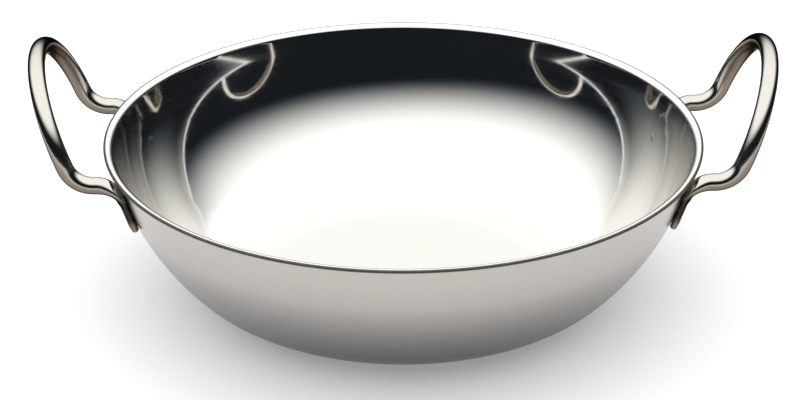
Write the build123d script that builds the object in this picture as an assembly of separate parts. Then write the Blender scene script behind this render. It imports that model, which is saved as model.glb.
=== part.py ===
"""Kadai: a pressed steel bowl with two bent wire handles, spot welded under its lip.

The origin is the centre of the base's underside, +Z is up and +X runs through the handles. Lengths are in
millimetres and angles in degrees.
"""

from build123d import *
import math
import os

# Bowl, drawn from one sheet with its edge turned out as a narrow lip
rim_diameter = 210.0
bowl_depth = 57.5  # underside of the base to the top of the lip
base_diameter = 105.6  # the flat underside, where the corner's curve starts
sheet = 1.0
corner_radius = 37.0  # outer face, from the base to the wall
wall_radius = 88.0  # outer face, from the corner up
wall_straight = 5.5  # from the wall's curve up to the lip's bend
lip_flat = 1.4
lip_bend = 1.0  # under the lip, on the outer face

# Handle, one length of round wire bent as a leaning loop
wire_diameter = 6.0
leg_spacing = 67.0  # between the centres of a handle's two legs
wire_drop = 0.2  # top of the wire below the top of the lip
neck_straight = 1.0  # between the bend down to the wall and the bend up to the loop
loop_height = 37.4  # from the corner of the bend up to the top of the loop, along its lean
loop_lean = 21.5  # outwards from upright
upper_bend = 10.0
lower_bend = 9.0

# Legs, pressed flat from the same wire and seated on the wall
leg_thickness = 2.2  # between the flat front and the back, which is hollowed to fit the wall
leg_width = 8.6
leg_crown = 0.6  # how far the wire's oval would stand past the front and the back
leg_tail = 2.2  # from the lower weld to the leg's end
leg_edge_round = 0.3
press_nose = 4.4  # radius on the press tool, where the flat front runs out into the bend
press_start = 2.4  # from the bend's end down to where the front is flat
press_overrun = 1.0
bend_shares = (0.0, 0.25, 0.5, 0.75, 1.0)  # where along the lower bend the wire's section is set

# Spot welds, two on each leg
weld_gap = 0.25  # between leg and wall, filled by the weld's nugget
weld_diameter = 3.6
weld_drop = 9.1  # upper weld below the top of the lip
weld_pitch = 7.8  # in height, from the upper weld to the lower one
mark_diameter = 4.6  # round print that the electrode leaves inside the bowl
mark_depth = 0.12

rim_radius = rim_diameter / 2
base_radius = base_diameter / 2
wire_radius = wire_diameter / 2
leg_offset = leg_spacing / 2
wire_height = bowl_depth - wire_drop - wire_radius
weld_heights = (bowl_depth - weld_drop, bowl_depth - weld_drop - weld_pitch)


def arc_centres():
    """Centres, in the plane of radius and height, of the corner's, the wall's and the lip's arcs.

    The wall's arc touches the corner's from outside it, and the straight part that carries it on touches the lip's
    bend, so its centre is where two circles about their centres meet.
    """
    corner = Vector(base_radius, corner_radius)
    lip = Vector(rim_radius - lip_flat, bowl_depth - sheet - lip_bend)
    apart = (lip - corner).length
    to_corner = wall_radius - corner_radius
    to_lip = math.hypot(wall_radius + lip_bend, wall_straight)
    along = (to_corner**2 - to_lip**2 + apart**2) / (2 * apart)
    aside = math.sqrt(to_corner**2 - along**2)
    towards = (lip - corner).normalized()
    across = Vector(-towards.Y, towards.X)
    return corner, corner + towards * along + across * aside, lip


def straight_normal():
    """Outward normal of the wall's straight part, in the plane of radius and height."""
    _, wall, lip = arc_centres()
    aside = math.degrees(math.atan2(wall_straight, wall_radius + lip_bend))
    return (lip - wall).normalized().rotate(Axis.Z, -aside)


def sheet_face(inwards):
    """Lines and arcs of one face of the sheet, from the axis to the lip's flat, a distance in from the outer face."""
    corner, wall, lip = arc_centres()
    to_corner = (corner - wall).normalized()
    to_lip = straight_normal()
    base_start = Vector(0, inwards)
    base_end = Vector(base_radius, inwards)
    wall_start = wall + to_corner * (wall_radius - inwards)
    wall_end = wall + to_lip * (wall_radius - inwards)
    wall_middle = wall + (to_corner + to_lip).normalized() * (wall_radius - inwards)
    straight_end = lip - to_lip * (lip_bend + inwards)
    lip_start = lip + Vector(0, lip_bend + inwards)
    lip_end = Vector(rim_radius - sheet / 2, lip_start.Y)
    return [
        Line(base_start, base_end),
        TangentArc(base_end, wall_start, tangent=(1, 0)),
        ThreePointArc(wall_start, wall_middle, wall_end),
        Line(wall_end, straight_end),
        TangentArc(lip_start, straight_end, tangent=(-1, 0)),
        Line(lip_start, lip_end),
    ]


def revolved(edges):
    """Solid of revolution about Z of an outline drawn as radius and height."""
    return revolve(Plane.XZ * make_face(Wire(edges)), Axis.Z)


def wall_envelope(outwards):
    """The bowl filled in up to its top, grown by a distance: what a handle has to stay clear of."""
    face = sheet_face(-outwards)
    foot = face[0] @ 0
    under_lip = face[-1] @ 1
    edge = Vector(rim_radius + outwards, under_lip.Y)
    top = Vector(edge.X, bowl_depth + outwards)
    return revolved(face + [Line(under_lip, edge), Line(edge, top), Line(top, (0, top.Y)), Line((0, top.Y), foot)])


def make_bowl():
    """Pressed bowl: flat base, curved corner and wall, turned out lip with a rounded edge, and the weld prints."""
    outer = sheet_face(0)
    inner = sheet_face(sheet)
    edge = ThreePointArc(outer[-1] @ 1, (rim_radius, bowl_depth - sheet / 2), inner[-1] @ 1)
    axis = Line(outer[0] @ 0, inner[0] @ 0)
    bowl = revolved(outer + [edge] + inner + [axis])
    for wall_point, outward in weld_places():
        print_floor = wall_point - outward * (sheet - mark_depth)
        print_cut = Cylinder(mark_diameter / 2, sheet, align=(Align.CENTER, Align.CENTER, Align.MAX))
        bowl -= Plane(origin=print_floor, z_dir=outward) * print_cut
    return bowl


def wall_at(height):
    """Radius of the bowl's outer face at a height, and the outward normal there as its radial and upward parts."""
    _, wall, _ = arc_centres()
    normal = straight_normal()
    arc_end = wall + normal * wall_radius
    if height > arc_end.Y:
        return arc_end.X - (height - arc_end.Y) * normal.Y / normal.X, normal.X, normal.Y
    radius = wall.X + math.sqrt(wall_radius**2 - (height - wall.Y) ** 2)
    return radius, (radius - wall.X) / wall_radius, (height - wall.Y) / wall_radius


def leg_seat(height):
    """Point and normal on the wall behind the leg's middle at a height, for the leg at +X and +Y."""
    radius, radial, upward = wall_at(height)
    stand_off = weld_gap + leg_thickness / 2
    azimuth = math.asin(leg_offset / (radius + stand_off * radial))
    around = Vector(math.cos(azimuth), math.sin(azimuth), 0)
    outward = around * radial + Vector(0, 0, upward)
    point = around * radius + Vector(0, 0, height)
    return point, outward, point + outward * stand_off


def weld_places():
    """Wall points and outward normals of all the spot welds, two on each of the four legs."""
    places = []
    for height in weld_heights:
        point, outward, _ = leg_seat(height)
        for side_x in (1, -1):
            for side_y in (1, -1):
                turned = [Vector(v.X * side_x, v.Y * side_y, v.Z) for v in (point, outward)]
                places.append(turned)
    return places


def bend_reach(radius, turn):
    """Distance from a bend's corner to where its arc starts, for a turn in degrees."""
    return radius * math.tan(math.radians(turn) / 2)


def leg_line():
    """Middle of the lower weld on the leg's centre line, the line's direction down and its tilt from upright."""
    _, _, upper = leg_seat(weld_heights[0])
    _, _, lower = leg_seat(weld_heights[1])
    down = (lower - upper).normalized()
    tilt = math.degrees(math.atan2(-down.X, -down.Z))
    return lower, down, tilt


def press_tool(length):
    """Block with a round nose that takes the leg's front flat. Its Z runs down the leg from the bend's end."""
    height = press_nose - press_start + length + press_overrun
    block = Box(leg_width + press_overrun, wire_diameter, height, align=(Align.CENTER, Align.MIN, Align.MIN))
    nose = block.edges().filter_by(Axis.X).sort_by(lambda edge: edge.center().Y + edge.center().Z)[0]
    return Pos(0, leg_thickness / 2, press_start - press_nose) * fillet(nose, press_nose)


def make_leg():
    """One leg at +X and +Y: the lower bend, where the round wire turns flat and faces the wall, and the flat end."""
    lower, down, tilt = leg_line()
    turn = 90 - tilt
    corner_x = lower.X - down.X / down.Z * (lower.Z - wire_height)
    bend_start = corner_x + bend_reach(lower_bend, turn)
    centre = Vector(bend_start, leg_offset, wire_height - lower_bend)
    _, outward, _ = leg_seat(sum(weld_heights) / len(weld_heights))
    azimuth = math.atan2(outward.Y, outward.X)
    twist = math.degrees(math.atan2(math.sin(azimuth) * math.cos(math.radians(tilt)), math.cos(azimuth)))

    sections = []
    for share in bend_shares:
        angle = math.radians(turn * share)
        place = centre + Vector(-math.sin(angle), 0, math.cos(angle)) * lower_bend
        frame = Plane(origin=place, x_dir=(0, 1, 0), z_dir=(-math.cos(angle), 0, -math.sin(angle)))
        pressed = share**2 * (3 - 2 * share)
        half_width = wire_radius + (leg_width / 2 - wire_radius) * pressed
        half_thickness = wire_radius + (leg_thickness / 2 + leg_crown - wire_radius) * pressed
        outline = Ellipse(half_width, half_thickness) if pressed else Circle(wire_radius)
        sections.append(frame * Rot(Z=-twist * pressed) * outline)

    length = (lower - place).length + leg_tail
    end = extrude(sections[-1], amount=length)
    pressed_wire = loft(sections) + end - frame * Rot(Z=-twist) * press_tool(length)
    end_face = pressed_wire.faces().sort_by(Axis.Z)[0]
    return fillet(end_face.edges(), leg_edge_round), bend_start


def make_handle():
    """Handle at +X: the round loop with its two upper bends, and a flattened leg at each end."""
    leg, leg_start = make_leg()
    lean = math.radians(loop_lean)
    up_the_lean = Vector(math.sin(lean), 0, math.cos(lean))
    reach = bend_reach(upper_bend, 90 - loop_lean)
    corner_x = leg_start + neck_straight + reach
    loop_centre = Vector(corner_x, 0, wire_height) + up_the_lean * reach
    loop_plane = Plane(origin=loop_centre, x_dir=(0, 1, 0), z_dir=(math.cos(lean), 0, -math.sin(lean)))
    arch = loop_plane * EllipticalCenterArc((0, 0), leg_offset, loop_height - reach, arc_size=180)

    necks = []
    for side in (1, -1):
        start = Vector(leg_start, side * leg_offset, wire_height)
        bend = start + Vector(neck_straight, 0, 0)
        loop = loop_centre + Vector(0, side * leg_offset, 0)
        necks.append([Line(start, bend), TangentArc(bend, loop, tangent=(1, 0, 0))])
    path = Wire(necks[0] + [arch] + necks[1])
    section = Plane(origin=necks[0][0] @ 0, z_dir=(1, 0, 0)) * Circle(wire_radius)
    handle = sweep(section, path) + leg + mirror(leg, Plane.XZ)
    return handle - wall_envelope(weld_gap)


def make_spot_welds(handles):
    """Nuggets that fill the gap between each leg and the wall, as thin round pads."""
    bowl_space = wall_envelope(0)
    column = Cylinder(weld_diameter / 2, leg_thickness)
    pads = []
    for wall_point, outward in weld_places():
        pad = Plane(origin=wall_point, z_dir=outward) * column - bowl_space
        for handle in handles:
            pad -= handle
        pads.append(pad.solid())
    return Compound(pads)


bowl = make_bowl()
right_handle = make_handle()
left_handle = mirror(right_handle, Plane.YZ)
parts = {
    "bowl": bowl,
    "right_handle": right_handle,
    "left_handle": left_handle,
    "spot_welds": make_spot_welds((right_handle, left_handle)),
}
os.makedirs("parts", exist_ok=True)
for node, part in parts.items():
    export_step(part, f"parts/{node}.step")
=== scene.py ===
"""Kadai: a polished steel dish with two bent wire handles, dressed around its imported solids.

Lengths are in metres. The origin is the centre of the base's underside, +Z is up and +X runs through the
handles.
"""

import logging
import math
from dataclasses import dataclass, field
from enum import Enum

import bmesh
import bpy
from mathutils import Matrix, Vector


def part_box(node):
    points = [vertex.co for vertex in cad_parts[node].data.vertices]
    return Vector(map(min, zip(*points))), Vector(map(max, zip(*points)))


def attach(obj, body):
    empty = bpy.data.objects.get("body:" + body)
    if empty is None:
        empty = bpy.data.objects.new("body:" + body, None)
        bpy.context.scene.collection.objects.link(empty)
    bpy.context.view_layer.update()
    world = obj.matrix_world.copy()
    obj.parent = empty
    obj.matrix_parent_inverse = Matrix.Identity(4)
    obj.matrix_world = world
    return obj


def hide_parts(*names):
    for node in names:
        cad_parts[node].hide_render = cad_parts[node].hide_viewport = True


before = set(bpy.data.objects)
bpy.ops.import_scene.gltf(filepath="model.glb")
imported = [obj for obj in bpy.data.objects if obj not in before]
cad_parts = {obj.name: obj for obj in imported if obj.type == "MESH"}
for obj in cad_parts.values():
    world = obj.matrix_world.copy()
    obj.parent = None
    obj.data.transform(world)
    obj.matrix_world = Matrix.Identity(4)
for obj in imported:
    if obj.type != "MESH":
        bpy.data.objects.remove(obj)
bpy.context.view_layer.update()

log = logging.getLogger("kadai")

MM = 0.001
MERGE = 0.01 * MM
UP = Vector((0, 0, 1))
ACROSS = Vector((0, 1, 0))
NOISE_SPREAD = (0.3, 0.7)  # between which nearly all of a noise's values lie
RING_DRIFT = 0.03  # how far rings wander round the dish, as a share of the place
WHITE = "#FFFFFF"
MIRROR_BOUNCES = 16  # light runs round the mirror of the wall many times before it leaves


class Side(Enum):
    """Which end of the dish a handle is on, as the sign of its X."""

    RIGHT = 1
    LEFT = -1


class SheetFace(Enum):
    """The three finishes of the bowl, as material indices."""

    INSIDE = 0
    OUTSIDE = 1
    EDGE = 2


def new_piece(name: str, bm: bmesh.types.BMesh, materials: list) -> bpy.types.Object:
    """Makes a finished, smooth shaded object of a mesh, at the origin.

    Args:
        name: The piece's name.
        bm: The mesh, which is freed.
        materials: The materials that its faces' indices name.

    Returns:
        The new object.
    """
    mesh = bpy.data.meshes.new(name)
    for face in bm.faces:
        face.smooth = True
    bm.to_mesh(mesh)
    bm.free()
    piece = bpy.data.objects.new(name, mesh)
    for material in materials:
        mesh.materials.append(material)
    bpy.context.scene.collection.objects.link(piece)
    return piece


def linear(colour: str) -> tuple:
    """Turns an sRGB hex colour into linear red, green, blue and an alpha of 1."""
    channels = [int(colour[place : place + 2], 16) / 255 for place in (1, 3, 5)]
    return (*(c / 12.92 if c <= 0.04045 else ((c + 0.055) / 1.055) ** 2.4 for c in channels), 1.0)


def smooth_step(share: float) -> float:
    """Eases a share, held between 0 and 1, in and out."""
    share = min(max(share, 0.0), 1.0)
    return share**2 * (3 - 2 * share)


def add_node(tree: bpy.types.NodeTree, kind: str, inputs: dict, **settings: object) -> bpy.types.Node:
    """Adds a node with its settings and links.

    Args:
        tree: The tree that it goes in.
        kind: The node's type.
        inputs: What each input gets, by its name or number: a value, or the output that feeds it.
        settings: The node's own settings.

    Returns:
        The node.
    """
    node = tree.nodes.new(kind)
    for name, value in settings.items():
        setattr(node, name, value)
    for key, value in inputs.items():
        if isinstance(value, bpy.types.NodeSocket):
            tree.links.new(value, node.inputs[key])
        else:
            node.inputs[key].default_value = value
    return node


def add_share(
    tree: bpy.types.NodeTree, value: bpy.types.NodeSocket, start: float, full: float, to: tuple = (0.0, 1.0),
    kind: str = "LINEAR",
) -> bpy.types.NodeSocket:
    """Adds a held ramp.

    Args:
        tree: The tree that it goes in.
        value: What it follows.
        start: The value at which it leaves its first end.
        full: The value at which it reaches its second end.
        to: Its two ends.
        kind: Its interpolation.

    Returns:
        The ramp's output.
    """
    inputs = {"Value": value, "From Min": start, "From Max": full, "To Min": to[0], "To Max": to[1]}
    return add_node(tree, "ShaderNodeMapRange", inputs, interpolation_type=kind).outputs[0]


def add_colour(
    tree: bpy.types.NodeTree, share: bpy.types.NodeSocket, under: str | bpy.types.NodeSocket, over: str
) -> bpy.types.NodeSocket:
    """Adds a mix of two colours.

    Args:
        tree: The tree that it goes in.
        share: How much of the second colour there is.
        under: The first colour, as sRGB hex or as the output that gives it.
        over: The second colour, as sRGB hex.

    Returns:
        The mixed colour.
    """
    first = linear(under) if isinstance(under, str) else under
    inputs = {"Factor": share, "A": first, "B": linear(over)}
    return add_node(tree, "ShaderNodeMix", inputs, data_type="RGBA").outputs["Result"]


def add_noise(
    tree: bpy.types.NodeTree, place: bpy.types.NodeSocket, size: float, detail: float, roughness: float = 0.5
) -> bpy.types.NodeSocket:
    """Adds a noise.

    Args:
        tree: The tree that it goes in.
        place: Where it is looked up.
        size: About how large its patches are.
        detail: How many finer layers it has.
        roughness: How strong they are.

    Returns:
        The noise, whose values lie about 0.5.
    """
    inputs = {"Vector": place, "Scale": 1 / size, "Detail": detail, "Roughness": roughness}
    return add_node(tree, "ShaderNodeTexNoise", inputs).outputs[0]


def add_bump(tree: bpy.types.NodeTree, height: bpy.types.NodeSocket, depth: float) -> bpy.types.NodeSocket:
    """Adds a bump that is as deep as given where the height is 1, and returns its normal."""
    inputs = {"Height": height, "Distance": depth, "Strength": 1.0}
    return add_node(tree, "ShaderNodeBump", inputs).outputs[0]


def new_tree(name: str) -> tuple[bpy.types.Material, bpy.types.NodeTree]:
    """Makes a material with an empty node tree.

    Args:
        name: The material's name.

    Returns:
        The material and its tree.
    """
    material = bpy.data.materials.new(name)
    material.use_nodes = True
    material.node_tree.nodes.clear()
    return material, material.node_tree


@dataclass(frozen=True)
class BuffedSheet:
    """Stainless steel sheet, deep drawn and buffed on a wheel until it mirrors.

    It gives the eye a clear, slightly warm mirror, whose reflections wander with the slow waves of drawn
    sheet and are a little softer in rings, where the wheel ran round. The wheel bore most on the curved
    corner, which is the brightest, so the flat floor shows a faint edge there, and the wall above is a touch
    warmer and duller.
    """

    name: str = "buffed_stainless_steel"
    floor_colour: str = "#EEF0ED"
    corner_colour: str = "#F4F4F3"
    wall_colour: str = "#E9E8E4"
    corner_from: float = 49.8 * MM  # these four are distances from the axis
    corner_full: float = 52.8 * MM
    wall_from: float = 66.0 * MM
    wall_full: float = 82.0 * MM
    roughness: float = 0.035
    haze: float = 0.03
    wave_size: float = 34 * MM
    wave_depth: float = 0.035 * MM
    ring_size: float = 1.6 * MM  # the wheel's own marks are finer, too fine to show in a picture

    def material(self) -> bpy.types.Material:
        """Builds the finish.

        Returns:
            The material.
        """
        material, tree = new_tree(self.name)
        place = add_node(tree, "ShaderNodeTexCoord", {}).outputs["Object"]
        waves = add_noise(tree, place, self.wave_size, detail=1.0, roughness=0.4)
        bump = add_bump(tree, waves, self.wave_depth)
        rings = ring_noise(tree, place, self.ring_size)
        softness = add_share(tree, rings, *NOISE_SPREAD, to=(self.roughness, self.roughness + self.haze))
        out = axis_distance(tree, place)
        corner = add_share(tree, out, self.corner_from, self.corner_full)
        wall = add_share(tree, out, self.wall_from, self.wall_full)
        colour = add_colour(tree, corner, self.floor_colour, self.corner_colour)
        colour = add_colour(tree, wall, colour, self.wall_colour)
        shader = add_node(
            tree, "ShaderNodeBsdfPrincipled",
            {"Base Color": colour, "Metallic": 1.0, "Roughness": softness, "Normal": bump},
        )
        add_node(tree, "ShaderNodeOutputMaterial", {"Surface": shader.outputs[0]})
        return material


def axis_distance(tree: bpy.types.NodeTree, place: bpy.types.NodeSocket) -> bpy.types.NodeSocket:
    """Adds the distance of a place from the dish's axis, and returns it."""
    flat = add_node(tree, "ShaderNodeVectorMath", {0: place, 1: (1, 1, 0)}, operation="MULTIPLY")
    return add_node(tree, "ShaderNodeVectorMath", {0: flat.outputs[0]}, operation="LENGTH").outputs["Value"]


def ring_noise(tree: bpy.types.NodeTree, place: bpy.types.NodeSocket, size: float) -> bpy.types.NodeSocket:
    """Adds a noise that runs round the dish in rings, as a wheel or a belt marks it on a turning chuck.

    Args:
        tree: The material's tree.
        place: Object coordinates.
        size: Width of a ring, along the sheet's section.

    Returns:
        The noise, whose values lie about 0.5.
    """
    height = add_node(tree, "ShaderNodeSeparateXYZ", {0: place})
    drift = add_node(
        tree, "ShaderNodeVectorMath", {0: place, 1: (RING_DRIFT, RING_DRIFT, 0)}, operation="MULTIPLY"
    )
    section = add_node(
        tree, "ShaderNodeCombineXYZ", {"X": axis_distance(tree, place), "Y": height.outputs["Z"], "Z": 0.0}
    )
    inputs = {0: section.outputs[0], 1: drift.outputs[0]}
    along = add_node(tree, "ShaderNodeVectorMath", inputs, operation="ADD")
    return add_noise(tree, along.outputs[0], size, detail=2.0, roughness=0.6)


@dataclass(frozen=True)
class SatinSheet:
    """The same sheet outside, left with the fine rings of a belt run round it.

    It gives the eye a soft grey sheen that follows the light of the floor, with faint rings level with the
    lip. Towards the base its colour is painted darker and colder, a painted shade for the darker floor that
    the low wall reflects.
    """

    name: str = "satin_stainless_steel"
    colour: str = "#BCB8B3"
    # painted shade: the low wall's colour, darker and colder towards the base
    painted_shade_colour: str = "#53565B"
    painted_shade_start: float = 40 * MM
    painted_shade_full: float = 8 * MM
    roughness: float = 0.27
    spread: float = 0.07
    stretch: float = 0.35
    ring_size: float = 0.9 * MM  # a belt's own marks, about 0.05 mm apart, would not show
    ring_depth: float = 0.004 * MM

    def material(self) -> bpy.types.Material:
        """Builds the finish.

        Returns:
            The material.
        """
        material, tree = new_tree(self.name)
        place = add_node(tree, "ShaderNodeTexCoord", {}).outputs["Object"]
        rings = ring_noise(tree, place, self.ring_size)
        bump = add_bump(tree, rings, self.ring_depth)
        softness = add_share(tree, rings, *NOISE_SPREAD, to=(self.roughness, self.roughness + self.spread))
        height = add_node(tree, "ShaderNodeSeparateXYZ", {0: place}).outputs["Z"]
        # painted shade: the colour darkens and cools towards the base, by height
        low = add_share(tree, height, self.painted_shade_start, self.painted_shade_full)
        colour = add_colour(tree, low, self.colour, self.painted_shade_colour)
        round_dish = add_node(tree, "ShaderNodeTangent", {}, direction_type="RADIAL", axis="Z")
        shader = add_node(
            tree, "ShaderNodeBsdfPrincipled",
            {"Base Color": colour, "Metallic": 1.0, "Roughness": softness,
             "Anisotropic": self.stretch, "Tangent": round_dish.outputs[0], "Normal": bump},
        )
        add_node(tree, "ShaderNodeOutputMaterial", {"Surface": shader.outputs[0]})
        return material


@dataclass(frozen=True)
class DarkRimEdge:
    """The lip's edge, where the sheet was trimmed by a shear.

    It gives the eye a dull dark line round the rim, with a broken grain. The dark colour reaches a little way
    on to the lip.
    """

    name: str = "dark_rim_edge_steel"
    colour: str = "#6E6B67"
    deep: str = "#44423F"
    roughness: float = 0.42
    grain: float = 0.8 * MM  # a finer grain, about 0.1 mm, would not show

    def material(self) -> bpy.types.Material:
        """Builds the finish.

        Returns:
            The material.
        """
        material, tree = new_tree(self.name)
        place = add_node(tree, "ShaderNodeTexCoord", {}).outputs["Object"]
        grain = add_noise(tree, place, self.grain, detail=3.0)
        colour = add_colour(tree, grain, self.colour, self.deep)
        shader = add_node(
            tree, "ShaderNodeBsdfPrincipled",
            {"Base Color": colour, "Metallic": 1.0, "Roughness": self.roughness},
        )
        add_node(tree, "ShaderNodeOutputMaterial", {"Surface": shader.outputs[0]})
        return material


@dataclass(frozen=True)
class TumbledWire:
    """Stainless steel wire, drawn, bent and tumbled, then pressed and welded, and browned by heat at the ends
    of its legs.

    It gives the eye a soft warm mirror with dark outlines, partly reflected and partly painted shade at the
    wire's rims, a painted shade in taupe on its downward faces, which are also duller, a little duller where
    it was gripped, darker and duller on the legs below the lower bend and brown at their very ends.
    """

    name: str = "tumbled_stainless_wire"
    colour: str = "#D5D1C9"
    # painted shade on the wire's downward faces
    underside_shade: str = "#82786D"
    # painted shade at the wire's rims: a dark edge colour that darkens its grazing reflections
    grazing_shade: str = "#3A3835"
    dark_leg_colour: str = "#38342F"
    brown: str = "#85766A"
    roughness: float = 0.09
    grip: float = 0.06
    underside_roughness: float = 0.26
    leg_roughness: float = 0.32
    grip_size: float = 6 * MM
    grip_spread: tuple = (0.4, 0.65)
    stain_wander: float = 1 * MM
    # the legs are darker and duller below these heights
    dark_leg_top: float = 53.0 * MM
    dark_leg_full: float = 48.5 * MM
    brown_top: float = 43.5 * MM
    brown_full: float = 40.0 * MM

    def material(self) -> bpy.types.Material:
        """Builds the finish.

        Returns:
            The material.
        """
        material, tree = new_tree(self.name)
        place = add_node(tree, "ShaderNodeTexCoord", {}).outputs["Object"]
        gripped = add_noise(tree, place, self.grip_size, detail=3.0)
        uneven = add_node(
            tree, "ShaderNodeMath", {0: gripped, 1: 2 * self.stain_wander, 2: -self.stain_wander},
            operation="MULTIPLY_ADD",
        )
        height = add_node(tree, "ShaderNodeSeparateXYZ", {0: place}).outputs["Z"]
        stain = add_node(tree, "ShaderNodeMath", {0: height, 1: uneven.outputs[0]}, operation="ADD")
        dark_leg_share = add_share(tree, stain.outputs[0], self.dark_leg_top, self.dark_leg_full, kind="SMOOTHSTEP")
        browned = add_share(tree, stain.outputs[0], self.brown_top, self.brown_full, kind="SMOOTHSTEP")
        # painted shade: a darker colour on the faces that look down
        underside_shade_share = add_node(tree, "ShaderNodeAttribute", {}, attribute_name="underside_shade").outputs["Fac"]
        colour = self.colour
        for share, over in ((underside_shade_share, self.underside_shade), (dark_leg_share, self.dark_leg_colour), (browned, self.brown)):
            colour = add_colour(tree, share, colour, over)
        clean = (self.roughness, self.roughness + self.grip)
        softness = add_share(tree, gripped, *self.grip_spread, to=clean)
        for share, over in ((underside_shade_share, self.underside_roughness), (dark_leg_share, self.leg_roughness)):
            softness = add_node(tree, "ShaderNodeMix", {"Factor": share, "A": softness, "B": over}).outputs[0]
        # painted shade: the dark grazing colour darkens the wire's rims
        shader = add_node(
            tree, "ShaderNodeBsdfPrincipled",
            {"Base Color": colour, "Metallic": 1.0, "Roughness": softness,
             "Specular Tint": linear(self.grazing_shade)},
        )
        add_node(tree, "ShaderNodeOutputMaterial", {"Surface": shader.outputs[0]})
        return material


@dataclass(frozen=True)
class WeldNugget:
    """Steel that melted and froze between the leg and the wall.

    It gives the eye a dull grey, browned by the heat and a little rough.
    """

    name: str = "fused_weld_steel"
    colour: str = "#8C857B"
    roughness: float = 0.45
    grain: float = 0.5 * MM
    depth: float = 0.03 * MM

    def material(self) -> bpy.types.Material:
        """Builds the finish.

        Returns:
            The material.
        """
        material, tree = new_tree(self.name)
        place = add_node(tree, "ShaderNodeTexCoord", {}).outputs["Object"]
        grain = add_noise(tree, place, self.grain, detail=3.0)
        bump = add_bump(tree, grain, self.depth)
        shader = add_node(
            tree, "ShaderNodeBsdfPrincipled",
            {"Base Color": linear(self.colour), "Metallic": 1.0, "Roughness": self.roughness,
             "Normal": bump},
        )
        add_node(tree, "ShaderNodeOutputMaterial", {"Surface": shader.outputs[0]})
        return material


@dataclass
class Pen:
    """Draws a line of edges from one vertex, by straight runs and by turns about a centre."""

    bm: bmesh.types.BMesh
    start: Vector

    def __post_init__(self) -> None:
        """Puts the first vertex down."""
        self.tip = self.bm.verts.new(self.start)

    def step(self) -> list:
        """Draws one edge of no length, whose new end becomes the tip.

        Returns:
            The tip alone, as a list.
        """
        made = bmesh.ops.extrude_vert_indiv(self.bm, verts=[self.tip])
        self.tip = made["verts"][0]
        return [self.tip]

    def run(self, by: Vector, rows: int) -> None:
        """Draws a straight run.

        Args:
            by: From the tip to the run's end.
            rows: How many edges it has.
        """
        for _ in range(rows):
            bmesh.ops.translate(self.bm, verts=self.step(), vec=by / rows)

    def turn(self, centre: Vector, angle: float, rows: int) -> None:
        """Draws an arc in the plane of Y zero.

        Args:
            centre: The arc's centre.
            angle: Its turn about +Y, in radians.
            rows: How many edges it has.
        """
        about = Matrix.Rotation(angle / rows, 3, "Y")
        for _ in range(rows):
            bmesh.ops.rotate(self.bm, verts=self.step(), cent=centre, matrix=about)


@dataclass
class WeldPrint:
    """Round print that the electrode leaves inside the bowl behind each weld, two to a leg."""

    drop: float = 9.1 * MM
    pitch: float = 7.8 * MM
    radius: float = 1.3 * MM
    depth: float = 0.06 * MM
    rounding: float = 0.7 * MM

    @property
    def reach(self) -> float:
        """How far from its centre a print bends the sheet."""
        return self.radius + self.rounding / 2

    def push(self, away: float) -> float:
        """How deep the print is at a distance from its centre."""
        return self.depth * smooth_step((self.reach - away) / self.rounding)


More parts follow.
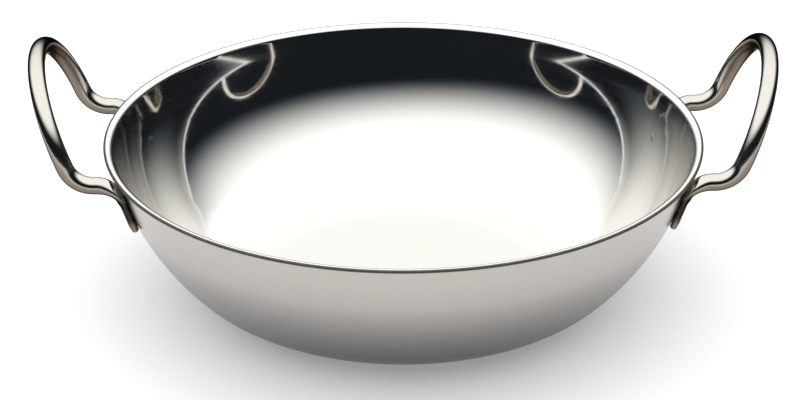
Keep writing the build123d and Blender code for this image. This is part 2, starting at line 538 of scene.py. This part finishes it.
@dataclass
class Bowl:
    """The dish, drawn from one sheet: flat base, rounded corner, curved wall and turned out lip."""

    rim_radius: float
    depth: float
    base_radius: float = 52.8 * MM
    sheet: float = 1.0 * MM
    corner_radius: float = 37.0 * MM
    wall_radius: float = 88.0 * MM
    wall_straight: float = 5.5 * MM
    lip_flat: float = 1.4 * MM
    lip_bend: float = 1.0 * MM
    edge_mark: float = 0.85 * MM
    leg_offset: float = 33.5 * MM
    leg_thickness: float = 2.2 * MM
    weld_gap: float = 0.25 * MM
    prints: WeldPrint = field(default_factory=WeldPrint)
    base_rows: int = 6
    corner_rows: int = 28
    wall_rows: int = 30
    print_rows: int = 32
    straight_rows: int = 12
    bend_rows: int = 8
    lip_rows: int = 2
    edge_rows: int = 8
    print_turn: float = math.radians(6.0)
    print_steps: int = 36
    plain_step: float = math.radians(2.0)

    @classmethod
    def from_frame(cls) -> "Bowl":
        """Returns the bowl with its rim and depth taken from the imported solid."""
        low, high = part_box("bowl")
        return cls(rim_radius=(high.x - low.x) / 2, depth=high.z)

    @property
    def weld_heights(self) -> tuple[float, float]:
        """Heights of the upper and the lower welds."""
        upper = self.depth - self.prints.drop
        return upper, upper - self.prints.pitch

    def centres(self) -> tuple[Vector, Vector, Vector]:
        """Centres of the corner's, the wall's and the lip's arcs, in the plane of Y zero.

        Returns:
            The three centres. The wall's is where the circles about the other two that it lies on meet.
        """
        corner = Vector((self.base_radius, 0, self.corner_radius))
        lip = Vector((self.rim_radius - self.lip_flat, 0, self.depth - self.sheet - self.lip_bend))
        apart = (lip - corner).length
        to_corner = self.wall_radius - self.corner_radius
        to_lip = math.hypot(self.wall_radius + self.lip_bend, self.wall_straight)
        along = (to_corner**2 - to_lip**2 + apart**2) / (2 * apart)
        aside = math.sqrt(to_corner**2 - along**2)
        towards = (lip - corner).normalized()
        across = Vector((-towards.z, 0, towards.x))
        return corner, corner + towards * along + across * aside, lip

    def straight_normal(self) -> Vector:
        """Finds which way the wall's straight part faces.

        Returns:
            Its outward normal, in the plane of Y zero.
        """
        _, wall, lip = self.centres()
        aside = math.atan2(self.wall_straight, self.wall_radius + self.lip_bend)
        return Matrix.Rotation(aside, 3, "Y") @ (lip - wall).normalized()

    def wall_at(self, height: float) -> tuple[float, Vector]:
        """Finds the outer face of the wall.

        Args:
            height: Where on the wall.

        Returns:
            The wall's radius there and its outward normal, in the plane of Y zero.
        """
        _, wall, _ = self.centres()
        normal = self.straight_normal()
        arc_end = wall + normal * self.wall_radius
        if height > arc_end.z:
            return arc_end.x - (height - arc_end.z) * normal.z / normal.x, normal
        radius = wall.x + math.sqrt(self.wall_radius**2 - (height - wall.z) ** 2)
        return radius, Vector((radius - wall.x, 0, height - wall.z)) / self.wall_radius

    def leg_seat(self, height: float) -> tuple[Vector, Vector]:
        """Finds where a leg sits, for the one at +X and +Y.

        Args:
            height: Where on the wall.

        Returns:
            The wall's point behind the leg's middle, and the outward normal there.
        """
        radius, normal = self.wall_at(height)
        stand_off = self.weld_gap + self.leg_thickness / 2
        azimuth = math.asin(self.leg_offset / (radius + stand_off * normal.x))
        about = Matrix.Rotation(azimuth, 3, "Z")
        return about @ Vector((radius, 0, height)), about @ normal

    def clear_of(self, point: Vector) -> Vector:
        """Moves a point out of the wall and the lip, to the gap that the welds leave.

        Args:
            point: A point of a handle.

        Returns:
            The point, moved where it was too near.
        """
        _, _, lip = self.centres()
        height = min(point.z, lip.z + self.lip_bend - self.weld_gap)
        away = math.hypot(point.x, point.y)
        if away > self.rim_radius + self.weld_gap:
            height = point.z
        radius, normal = self.wall_at(min(height, lip.z))
        short = self.weld_gap - (away - radius) * normal.x
        moved = Vector((point.x, point.y, height))
        if short > 0:
            moved += (Vector((point.x, point.y, 0)) / away * normal.x + UP * normal.z) * short
        return moved

    def outline(self, bm: bmesh.types.BMesh) -> None:
        """Draws the sheet's section in the plane of Y zero, from the axis up inside, round the lip and back.

        Args:
            bm: The mesh that gets it.
        """
        corner, wall, lip = self.centres()
        join = (corner - wall).normalized()
        normal = self.straight_normal()
        corner_turn = math.atan2(join.x, -join.z)
        wall_start = math.atan2(join.z, join.x)
        wall_end = math.atan2(normal.z, normal.x)
        fine_start = math.asin((self.weld_heights[1] - self.prints.reach - wall.z) / self.wall_radius)
        straight = Vector((-normal.z, 0, normal.x)) * self.wall_straight
        lip_top = Vector((self.lip_flat - self.edge_mark, 0, 0))
        edge_band = Vector((self.edge_mark - self.sheet / 2, 0, 0))
        bend_turn = math.pi / 2 + wall_end
        pen = Pen(bm, UP * self.sheet)
        pen.run(Vector((self.base_radius, 0, 0)), self.base_rows)
        pen.turn(corner, -corner_turn, self.corner_rows)
        pen.turn(wall, wall_start - fine_start, self.wall_rows)
        pen.turn(wall, fine_start - wall_end, self.print_rows)
        pen.run(straight, self.straight_rows)
        pen.turn(lip, bend_turn, self.bend_rows)
        pen.run(lip_top, self.lip_rows)
        pen.run(edge_band, 1)
        pen.turn(pen.tip.co - UP * self.sheet / 2, math.pi, self.edge_rows)
        pen.run(-edge_band, 1)
        pen.run(-lip_top, self.lip_rows)
        pen.turn(lip, -bend_turn, self.bend_rows)
        pen.run(-straight, self.lip_rows)
        pen.turn(wall, wall_end - wall_start, self.wall_rows)
        pen.turn(corner, corner_turn, self.corner_rows)
        pen.run(Vector((-self.base_radius, 0, 0)), self.base_rows)

    def sectors(self) -> list[tuple[float, int]]:
        """Splits the full turn, with finer steps where the prints lie.

        Returns:
            The turns in order from +X, with each one's number of steps.
        """
        middles = [math.atan2(point.y, point.x) for point, _ in map(self.leg_seat, self.weld_heights)]
        middle = sum(middles) / len(middles)
        sectors = []
        done = 0.0
        for centre in (middle, math.pi - middle, math.pi + middle, 2 * math.pi - middle):
            plain = centre - self.print_turn / 2 - done
            sectors.append((plain, round(plain / self.plain_step)))
            sectors.append((self.print_turn, self.print_steps))
            done = centre + self.print_turn / 2
        sectors.append((2 * math.pi - done, round((2 * math.pi - done) / self.plain_step)))
        return sectors

    def press_prints(self, bm: bmesh.types.BMesh) -> None:
        """Pushes the inner face outwards behind each weld, with a soft edge.

        Args:
            bm: The bowl's mesh.
        """
        for height in self.weld_heights:
            point, normal = self.leg_seat(height)
            for flip in ((1, 1), (-1, 1), (-1, -1), (1, -1)):
                turned = Matrix.Diagonal((*flip, 1))
                outward = turned @ normal
                centre = turned @ point - outward * self.sheet
                for vertex in bm.verts:
                    offset = vertex.co - centre
                    level = offset.dot(outward)
                    away = (offset - outward * level).length
                    if away < self.prints.reach and abs(level) < self.sheet / 2:
                        vertex.co += outward * self.prints.push(away)

    def split_finishes(self, bm: bmesh.types.BMesh) -> None:
        """Gives the lip's cut edge and the face outside it their own finishes.

        Args:
            bm: The bowl's mesh.
        """
        bm.normal_update()
        mouth = UP * self.depth
        for face in bm.faces:
            centre = face.calc_center_median()
            finish = SheetFace.INSIDE
            if math.hypot(centre.x, centre.y) > self.rim_radius - self.edge_mark:
                finish = SheetFace.EDGE
            elif centre.z < self.depth - self.sheet / 2 and face.normal.dot(centre - mouth) > 0:
                finish = SheetFace.OUTSIDE
            face.material_index = finish.value

    def build(self) -> bpy.types.Object:
        """Spins the section, presses the prints and dresses the faces.

        Returns:
            The bowl.
        """
        bm = bmesh.new()
        self.outline(bm)
        ring = list(bm.verts) + list(bm.edges)
        for turn, steps in self.sectors():
            made = bmesh.ops.spin(bm, geom=ring, cent=(0, 0, 0), axis=UP, angle=turn, steps=steps)
            ring = made["geom_last"]
        bmesh.ops.remove_doubles(bm, verts=bm.verts, dist=MERGE)
        bmesh.ops.recalc_face_normals(bm, faces=bm.faces)
        self.press_prints(bm)
        self.split_finishes(bm)
        finishes = [BuffedSheet(), SatinSheet(), DarkRimEdge()]
        bowl = new_piece("bowl_sheet", bm, [finish.material() for finish in finishes])
        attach(bowl, "root")
        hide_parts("bowl")
        return bowl


@dataclass
class WireHandle:
    """One length of round wire, bent as a leaning loop, its two ends pressed flat and seated on the bowl."""

    bowl: Bowl
    wire_radius: float = 3.0 * MM
    wire_drop: float = 0.2 * MM
    neck_straight: float = 1.0 * MM
    loop_height: float = 37.4 * MM
    loop_lean: float = math.radians(21.5)
    upper_bend: float = 10.0 * MM
    lower_bend: float = 9.0 * MM
    leg_width: float = 8.6 * MM
    leg_crown: float = 0.6 * MM
    leg_tail: float = 2.2 * MM
    end_round: float = 0.3 * MM
    end_segments: int = 3
    press_nose: float = 4.4 * MM
    press_start: float = 2.4 * MM
    # painted shade on the wire's underside, by the height of its normal: where it starts and where it is full
    underside_shade_start: float = 0.3
    underside_shade_full: float = -0.1
    facets: int = 48
    arch_rings: int = 44
    upper_rings: int = 14
    neck_rings: int = 2
    lower_rings: int = 20
    leg_rings: int = 26

    def __post_init__(self) -> None:
        """Works out where the legs run, and so where the loop starts."""
        upper, lower = (self.leg_middle(height) for height in self.bowl.weld_heights)
        self.down = (lower - upper).normalized()
        self.tilt = math.atan2(-self.down.x, -self.down.z)
        self.turn = math.pi / 2 - self.tilt
        self.wire_height = self.bowl.depth - self.wire_drop - self.wire_radius
        corner_x = lower.x - self.down.x / self.down.z * (lower.z - self.wire_height)
        self.leg_start = corner_x + self.lower_bend * math.tan(self.turn / 2)
        self.leg_end = lower + self.down * self.leg_tail
        _, outward = self.bowl.leg_seat(sum(self.bowl.weld_heights) / 2)
        azimuth = math.atan2(outward.y, outward.x)
        self.twist = math.atan2(math.sin(azimuth) * math.cos(self.tilt), math.cos(azimuth))

    def leg_middle(self, height: float) -> Vector:
        """Middle of the leg in front of a weld at a height."""
        point, outward = self.bowl.leg_seat(height)
        return point + outward * (self.bowl.weld_gap + self.bowl.leg_thickness / 2)

    @staticmethod
    def frame_at(place: Vector, along: Vector, front: Vector) -> Matrix:
        """Matrix that carries the plane of X and Y across the wire.

        Args:
            place: Middle of the wire.
            along: Direction of the wire.
            front: Direction that becomes the leg's flat front.

        Returns:
            The matrix.
        """
        return Matrix.Translation(place) @ Matrix((front.cross(along), front, along)).transposed().to_4x4()

    def arch(self) -> list[Matrix]:
        """Runs from the top of the loop, which is half an ellipse, to where it meets the upper bend.

        Returns:
            The frames of the rings on the way.
        """
        up = Vector((math.sin(self.loop_lean), 0, math.cos(self.loop_lean)))
        front = ACROSS.cross(up)
        reach = self.upper_bend * math.tan((math.pi / 2 - self.loop_lean) / 2)
        corner = Vector((self.leg_start + self.neck_straight + reach, 0, self.wire_height))
        half_width = ACROSS * self.bowl.leg_offset
        half_height = up * (self.loop_height - reach)
        rings = []
        for step in range(self.arch_rings):
            angle = math.pi / 2 * (1 - step / self.arch_rings)
            place = corner + up * reach + half_width * math.cos(angle) + half_height * math.sin(angle)
            along = (half_width * math.sin(angle) - half_height * math.cos(angle)).normalized()
            rings.append(self.frame_at(place, along, front))
        return rings

    def bend(self, centre: Vector, radius: float, start: float, end: float, count: int) -> list[Matrix]:
        """Rings round a bend in a plane across +Y, of which the last is left to the next stretch.

        Args:
            centre: The bend's centre.
            radius: Its radius, negative where the wire runs under the centre.
            start: Slope down of the wire where the bend starts, in radians from level.
            end: The same where it ends.
            count: How many rings.

        Returns:
            The rings.
        """
        rings = []
        for step in range(count):
            slope = start + (end - start) * step / count
            along = Vector((-math.cos(slope), 0, -math.sin(slope)))
            front = along.cross(ACROSS)
            rings.append(self.frame_at(centre - front * radius, along, front))
        return rings

    def pressed(self, ring: Matrix, share: float) -> Matrix:
        """Turns a round ring towards the wall and flattens it.

        Args:
            ring: The ring's frame.
            share: How far it has gone from round wire to the leg.

        Returns:
            The matrix that carries a unit circle to the ring.
        """
        eased = smooth_step(share)
        crown = self.bowl.leg_thickness / 2 + self.leg_crown
        width = self.wire_radius + (self.leg_width / 2 - self.wire_radius) * eased
        thickness = self.wire_radius + (crown - self.wire_radius) * eased
        return ring @ Matrix.Rotation(-self.twist * eased, 4, "Z") @ Matrix.Diagonal((width, thickness, 1, 1))

    def rings(self) -> list[Matrix]:
        """Places the wire's section, as a unit circle, from the top of the loop to the end of one leg.

        Returns:
            The matrix of each ring, for the half at +X and +Y.
        """
        aside = ACROSS * self.bowl.leg_offset
        neck = Vector((self.leg_start + self.neck_straight, 0, self.wire_height)) + aside
        upper_centre = neck + UP * self.upper_bend
        lower_centre = Vector((self.leg_start, 0, self.wire_height - self.lower_bend)) + aside
        round_rings = self.arch()
        steep = math.pi / 2 - self.loop_lean
        round_rings += self.bend(upper_centre, -self.upper_bend, steep, 0, self.upper_rings)
        level = self.frame_at(neck, Vector((-1, 0, 0)), -UP)
        for step in range(self.neck_rings):
            inwards = -self.neck_straight * step / self.neck_rings
            round_rings.append(Matrix.Translation((inwards, 0, 0)) @ level)
        bend = self.bend(lower_centre, self.lower_bend, 0, self.turn, self.lower_rings)
        leg = self.leg_frame()
        length = (self.leg_end - leg.translation).length
        places = [self.pressed(ring, 0) for ring in round_rings]
        places += [self.pressed(ring, step / self.lower_rings) for step, ring in enumerate(bend)]
        for step in range(self.leg_rings + 1):
            moved = Matrix.Translation(self.down * length * step / self.leg_rings) @ leg
            places.append(self.pressed(moved, 1))
        return places

    def leg_frame(self) -> Matrix:
        """Finds where the lower bend ends and the straight leg starts.

        Returns:
            The frame there, not yet turned towards the wall.
        """
        lower_centre = Vector((self.leg_start, self.bowl.leg_offset, self.wire_height - self.lower_bend))
        front = self.down.cross(ACROSS)
        return self.frame_at(lower_centre - front * self.lower_bend, self.down, front)

    def press_front(self, bm: bmesh.types.BMesh) -> None:
        """Presses the leg's front flat with a round nosed tool.

        Args:
            bm: The handle's mesh.
        """
        tool = self.leg_frame() @ Matrix.Rotation(-self.twist, 4, "Z")
        back = tool.inverted()
        for vertex in bm.verts:
            local = back @ vertex.co
            short = self.press_start - local.z
            if short < self.press_nose and vertex.co.z < self.wire_height:
                nose = self.press_nose - math.sqrt(self.press_nose**2 - max(short, 0) ** 2)
                local.y = min(local.y, self.bowl.leg_thickness / 2 + nose)
                vertex.co = tool @ local

    def mark_underside_shade(self, bm: bmesh.types.BMesh) -> None:
        """Marks how far each spot faces down, by the height of its normal, as the mask of the painted shade
        underneath.

        Args:
            bm: The handle's mesh.
        """
        underside_shade = bm.verts.layers.float.new("underside_shade")
        bm.normal_update()
        fade = self.underside_shade_start - self.underside_shade_full
        for vertex in bm.verts:
            vertex[underside_shade] = smooth_step((self.underside_shade_start - vertex.normal.z) / fade)

    def build(self, side: Side, finish: bpy.types.Material) -> bpy.types.Object:
        """Extrudes the wire ring by ring, presses the leg, seats it and mirrors it into a whole handle.

        Args:
            side: Which end of the dish it goes on.
            finish: The wire's material.

        Returns:
            The handle.
        """
        bm = bmesh.new()
        rings = self.rings()
        bmesh.ops.create_circle(bm, segments=self.facets, radius=1, matrix=rings[0])
        edges = list(bm.edges)
        for before, after in zip(rings, rings[1:]):
            made = bmesh.ops.extrude_edge_only(bm, edges=edges)
            verts = [item for item in made["geom"] if isinstance(item, bmesh.types.BMVert)]
            edges = [item for item in made["geom"] if isinstance(item, bmesh.types.BMEdge)]
            edges = [edge for edge in edges if all(vertex in verts for vertex in edge.verts)]
            bmesh.ops.transform(bm, matrix=after @ before.inverted(), verts=verts)
        self.press_front(bm)
        for vertex in bm.verts:
            vertex.co = self.bowl.clear_of(vertex.co)
        bmesh.ops.contextual_create(bm, geom=edges)
        bmesh.ops.bevel(
            bm, geom=edges, offset=self.end_round, segments=self.end_segments, profile=0.5, affect="EDGES",
            clamp_overlap=True, material=-1,
        )
        everything = list(bm.verts) + list(bm.edges) + list(bm.faces)
        bmesh.ops.mirror(bm, geom=everything, matrix=Matrix.Identity(4), merge_dist=MERGE, axis="Y")
        bmesh.ops.scale(bm, vec=(side.value, 1, 1), verts=bm.verts)
        bmesh.ops.remove_doubles(bm, verts=bm.verts, dist=MERGE)
        bmesh.ops.recalc_face_normals(bm, faces=bm.faces)
        self.mark_underside_shade(bm)
        name = side.name.lower()
        handle = new_piece(f"{name}_wire", bm, [finish])
        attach(handle, "root")
        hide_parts(f"{name}_handle")
        return handle


@dataclass
class SpotWelds:
    """The eight nuggets between the legs and the wall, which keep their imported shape."""

    finish: WeldNugget = field(default_factory=WeldNugget)

    def dress(self) -> bpy.types.Object:
        """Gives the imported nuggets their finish.

        Returns:
            The nuggets.
        """
        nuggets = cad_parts["spot_welds"]
        material = self.finish.material()
        for slot in nuggets.material_slots:
            slot.material = material
        return nuggets


@dataclass
class LightTent:
    """White tent round the dish, lit from above and from behind, and dark on the camera's side.

    Polished metal shows only what stands round it, so this is what gives the inside its dark band and its
    glow.
    """

    radius: float = 6.0
    segments: int = 64
    glow: float = 1.36
    dark: float = 0.016
    lit_colour: str = WHITE
    dim_colour: str = "#CCE6FF"
    dim_reach: float = 0.25
    tilt: float = math.radians(11.3)
    bright_side: float = math.radians(343.5)  # from +Y towards +X
    fade_start: float = 0.225
    fade_end: float = 0.635

    def material(self) -> bpy.types.Material:
        """Builds cloth that glows by how far up it hangs, along a line that leans to the bright side.

        Returns:
            The material.
        """
        material, tree = new_tree("lit_tent_cloth")
        place = add_node(tree, "ShaderNodeTexCoord", {}).outputs["Object"]
        lean = math.sin(self.tilt)
        bright = (math.sin(self.bright_side) * lean, math.cos(self.bright_side) * lean, math.cos(self.tilt))
        level = add_node(
            tree, "ShaderNodeVectorMath", {0: place, 1: tuple(part / self.radius for part in bright)},
            operation="DOT_PRODUCT",
        )
        glow = add_share(
            tree, level.outputs["Value"], self.fade_start, self.fade_end, to=(self.dark, self.glow),
            kind="SMOOTHSTEP",
        )
        share = add_node(tree, "ShaderNodeMath", {0: glow, 1: self.dim_reach}, operation="DIVIDE")
        colour = add_colour(tree, share.outputs[0], self.dim_colour, self.lit_colour)
        light = add_node(tree, "ShaderNodeEmission", {"Color": colour, "Strength": glow})
        add_node(tree, "ShaderNodeOutputMaterial", {"Surface": light.outputs[0]})
        return material

    def build(self) -> bpy.types.Object:
        """Makes the tent as a sphere, which the camera looks through.

        Returns:
            The tent.
        """
        bm = bmesh.new()
        bmesh.ops.create_uvsphere(
            bm, u_segments=self.segments, v_segments=self.segments // 2, radius=self.radius
        )
        tent = new_piece("light_tent", bm, [self.material()])
        tent.visible_camera = False
        return tent


@dataclass
class Floor:
    """Plain white board, which keeps the dish's soft shadow."""

    radius: float = 360 * MM
    colour: str = "#FAFAFA"
    fibre: str = "#F6F6F6"
    fibre_size: float = 3 * MM
    roughness: float = 0.9
    gloss: float = 0.2
    lift: float = 0.28
    segments: int = 96

    def material(self) -> bpy.types.Material:
        """Builds matt coated board, faintly cloudy from its fibres and lifted a little to the eye alone.

        Returns:
            The material.
        """
        material, tree = new_tree("matt_coated_board")
        place = add_node(tree, "ShaderNodeTexCoord", {}).outputs["Object"]
        clouds = add_noise(tree, place, self.fibre_size, detail=2.0)
        colour = add_colour(tree, clouds, self.colour, self.fibre)
        board = add_node(
            tree, "ShaderNodeBsdfPrincipled",
            {"Base Color": colour, "Roughness": self.roughness, "Specular IOR Level": self.gloss,
             "Emission Color": linear(WHITE), "Emission Strength": self.seen_lift(tree)},
        )
        add_node(tree, "ShaderNodeOutputMaterial", {"Surface": board.outputs[0]})
        return material

    def seen_lift(self, tree: bpy.types.NodeTree) -> bpy.types.NodeSocket:
        """Adds the lift for camera, glossy and transmission rays alone, so that it lights nothing.

        Args:
            tree: The board's tree.

        Returns:
            How strongly the board seems to glow.
        """
        rays = add_node(tree, "ShaderNodeLightPath", {}).outputs
        seen = rays["Is Camera Ray"]
        for kind in ("Is Glossy Ray", "Is Transmission Ray"):
            seen = add_node(tree, "ShaderNodeMath", {0: seen, 1: rays[kind]}, operation="ADD").outputs[0]
        return add_node(tree, "ShaderNodeMath", {0: seen, 1: self.lift}, operation="MULTIPLY").outputs[0]

    def build(self) -> bpy.types.Object:
        """Makes the floor.

        Returns:
            The floor.
        """
        bm = bmesh.new()
        bmesh.ops.create_circle(bm, cap_ends=True, segments=self.segments, radius=self.radius)
        floor = new_piece("floor", bm, [self.material()])
        return floor


@dataclass
class WhiteBackdrop:
    """White world behind everything that the camera sees past the floor."""

    def build(self) -> bpy.types.World:
        """Makes the scene's world.

        Returns:
            The world.
        """
        world = bpy.data.worlds.new("white_backdrop")
        world.use_nodes = True
        tree = world.node_tree
        tree.nodes.clear()
        light = add_node(tree, "ShaderNodeBackground", {"Color": linear(WHITE), "Strength": 1.0})
        add_node(tree, "ShaderNodeOutputWorld", {"Surface": light.outputs[0]})
        bpy.context.scene.world = world
        return world


@dataclass
class PhotoCamera:
    """The camera that took the photograph, as fitted to the rim and both handles."""

    distance: float = 1000 * MM
    elevation: float = math.radians(25.77)
    azimuth: float = math.radians(-0.56)
    roll: float = math.radians(-0.086)
    aim_aside: float = -1.21 * MM
    aim_height: float = 32.05 * MM
    focal_pixels: float = 2816.6
    frame_pixels: float = 800.0
    sensor: float = 36.0

    def place(self) -> bpy.types.Object:
        """Makes the scene's camera.

        Returns:
            The camera.
        """
        data = bpy.data.cameras.new("photo_camera")
        data.sensor_width = self.sensor
        data.lens = self.focal_pixels * self.sensor / self.frame_pixels
        camera = bpy.data.objects.new("photo_camera", data)
        bpy.context.scene.collection.objects.link(camera)
        towards = Matrix.Rotation(self.azimuth, 4, "Z")
        aim = Matrix.Translation((self.aim_aside, 0, self.aim_height))
        tilt = Matrix.Rotation(math.pi / 2 - self.elevation, 4, "X")
        back = Matrix.Translation((0, 0, self.distance))
        camera.matrix_world = towards @ aim @ tilt @ Matrix.Rotation(self.roll, 4, "Z") @ back
        bpy.context.scene.camera = camera
        return camera


def report(piece: bpy.types.Object) -> None:
    """Logs a piece's name and how many faces it has."""
    log.info("%s: %d faces", piece.name, len(piece.data.polygons))


def main() -> None:
    """Builds the dish piece by piece, then the studio round it."""
    logging.basicConfig(level=logging.INFO, format="%(message)s")
    bowl = Bowl.from_frame()
    report(bowl.build())
    handle = WireHandle(bowl)
    wire = TumbledWire().material()
    for side in Side:
        report(handle.build(side, wire))
    report(SpotWelds().dress())
    report(LightTent().build())
    report(Floor().build())
    WhiteBackdrop().build()
    PhotoCamera().place()
    scene = bpy.context.scene
    scene.view_settings.view_transform = "Standard"
    scene.cycles.max_bounces = scene.cycles.glossy_bounces = MIRROR_BOUNCES


if __name__ == "__main__":
    main()
